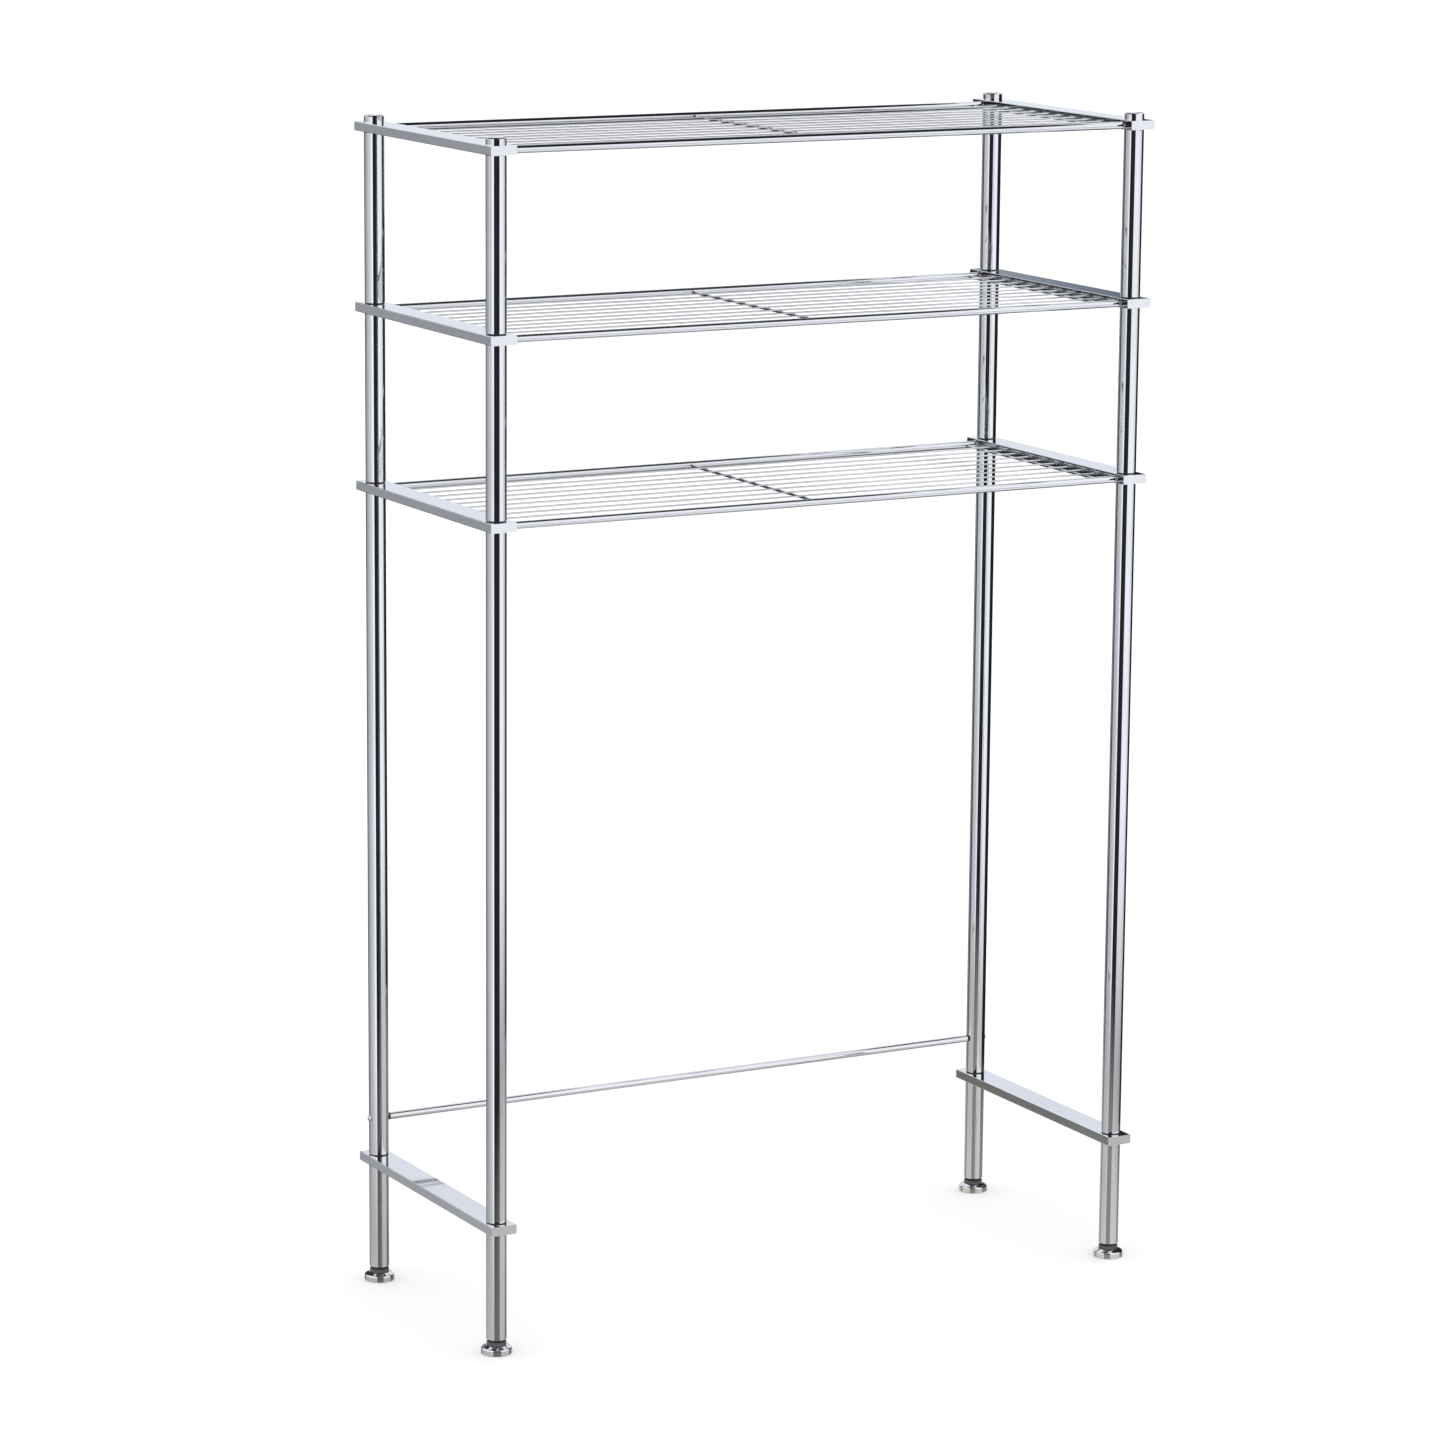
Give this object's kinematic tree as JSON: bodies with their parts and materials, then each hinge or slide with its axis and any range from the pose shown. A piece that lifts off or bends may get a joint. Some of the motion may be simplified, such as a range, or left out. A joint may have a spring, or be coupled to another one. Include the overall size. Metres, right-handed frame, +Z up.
{
  "type": "over the toilet storage rack",
  "caption": "Free-standing chrome rack whose tall round legs stand over a toilet, with open wire shelves above it, flat side bars, a back stretcher and levelling feet.",
  "frame": {"origin": "on the floor, in the middle of the footprint", "axes": "+Z up along the posts, +X to the right side, -Y to the front"},
  "size_m": [0.8132, 0.335, 1.306],
  "materials": {
    "chrome_tube": "bright mirror chrome plate on round steel tube",
    "chrome_bar": "bright chrome plate on flat steel tube",
    "chrome_rod": "bright chrome plate on round steel rod and thin tube",
    "chrome_wire": "bright chrome plate on drawn steel wire",
    "chrome_fitting": "polished chrome plate on turned steel caps and pads",
    "silver_plug": "smooth pale silver-grey moulded plastic",
    "grey_plastic": "satin mid-grey moulded plastic",
    "black_plastic": "satin black moulded plastic",
    "zinc_steel": "zinc-plated threaded steel rod",
    "screw_steel": "bright plated steel screw"
  },
  "bodies": {
    "rack": {"bar_end_plugs_left": "silver_plug", "bar_end_plugs_right": "silver_plug", "base_bar_left": "chrome_bar", "base_bar_right": "chrome_bar", "joint_studs": "zinc_steel", "leg_inserts": "black_plastic", "leg_stub_back_left": "chrome_tube", "leg_stub_back_right": "chrome_tube", "leg_stub_front_left": "chrome_tube", "leg_stub_front_right": "chrome_tube", "leg_tube_back_left": "chrome_tube", "leg_tube_back_right": "chrome_tube", "leg_tube_front_left": "chrome_tube", "leg_tube_front_right": "chrome_tube", "low_bar_left": "chrome_bar", "low_bar_right": "chrome_bar", "low_shelf_cross_wires": "chrome_wire", "low_shelf_long_wires": "chrome_wire", "low_shelf_rail_back": "chrome_rod", "low_shelf_rail_front": "chrome_rod", "lower_post_back_left": "chrome_tube", "lower_post_back_right": "chrome_tube", "lower_post_front_left": "chrome_tube", "lower_post_front_right": "chrome_tube", "mid_bar_left": "chrome_bar", "mid_bar_right": "chrome_bar", "mid_shelf_cross_wires": "chrome_wire", "mid_shelf_long_wires": "chrome_wire", "mid_shelf_rail_back": "chrome_rod", "mid_shelf_rail_front": "chrome_rod", "stretcher_plugs": "black_plastic", "stretcher_screws": "screw_steel", "stretcher_tube": "chrome_rod", "top_bar_left": "chrome_bar", "top_bar_right": "chrome_bar", "top_cap_back_left": "chrome_fitting", "top_cap_back_right": "chrome_fitting", "top_cap_front_left": "chrome_fitting", "top_cap_front_right": "chrome_fitting", "top_shelf_cross_wires": "chrome_wire", "top_shelf_long_wires": "chrome_wire", "top_shelf_rail_back": "chrome_rod", "top_shelf_rail_front": "chrome_rod", "tube_inserts": "black_plastic", "upper_post_back_left": "chrome_tube", "upper_post_back_right": "chrome_tube", "upper_post_front_left": "chrome_tube", "upper_post_front_right": "chrome_tube"},
    "collar_front_left": {"foot_collar_front_left": "grey_plastic"},
    "pad_front_left": {"foot_pad_front_left": "chrome_fitting", "foot_stud_front_left": "zinc_steel"},
    "collar_front_right": {"foot_collar_front_right": "grey_plastic"},
    "pad_front_right": {"foot_pad_front_right": "chrome_fitting", "foot_stud_front_right": "zinc_steel"},
    "collar_back_left": {"foot_collar_back_left": "grey_plastic"},
    "pad_back_left": {"foot_pad_back_left": "chrome_fitting", "foot_stud_back_left": "zinc_steel"},
    "collar_back_right": {"foot_collar_back_right": "grey_plastic"},
    "pad_back_right": {"foot_pad_back_right": "chrome_fitting", "foot_stud_back_right": "zinc_steel"}
  },
  "joints": [
    {"name": "foot_lift_front_left", "type": "slide", "parent": "rack", "child": "collar_front_left", "axis": [0, 0, -1], "range_m": [0, 0.01]},
    {"name": "foot_turn_front_left", "type": "hinge", "parent": "collar_front_left", "child": "pad_front_left", "pos_m": [-0.39, -0.149, 0], "axis": [0, 0, -1], "range_deg": [0, 2880]},
    {"name": "foot_lift_front_right", "type": "slide", "parent": "rack", "child": "collar_front_right", "axis": [0, 0, -1], "range_m": [0, 0.01]},
    {"name": "foot_turn_front_right", "type": "hinge", "parent": "collar_front_right", "child": "pad_front_right", "pos_m": [0.39, -0.149, 0], "axis": [0, 0, -1], "range_deg": [0, 2880]},
    {"name": "foot_lift_back_left", "type": "slide", "parent": "rack", "child": "collar_back_left", "axis": [0, 0, -1], "range_m": [0, 0.01]},
    {"name": "foot_turn_back_left", "type": "hinge", "parent": "collar_back_left", "child": "pad_back_left", "pos_m": [-0.39, 0.149, 0], "axis": [0, 0, -1], "range_deg": [0, 2880]},
    {"name": "foot_lift_back_right", "type": "slide", "parent": "rack", "child": "collar_back_right", "axis": [0, 0, -1], "range_m": [0, 0.01]},
    {"name": "foot_turn_back_right", "type": "hinge", "parent": "collar_back_right", "child": "pad_back_right", "pos_m": [0.39, 0.149, 0], "axis": [0, 0, -1], "range_deg": [0, 2880]}
  ],
  "couplings": [
    {"joint": "foot_turn_front_left", "follows": "foot_lift_front_left", "rad_per_m": 5026.5},
    {"joint": "foot_turn_front_right", "follows": "foot_lift_front_right", "rad_per_m": 5026.5},
    {"joint": "foot_turn_back_left", "follows": "foot_lift_back_left", "rad_per_m": 5026.5},
    {"joint": "foot_turn_back_right", "follows": "foot_lift_back_right", "rad_per_m": 5026.5}
  ]
}
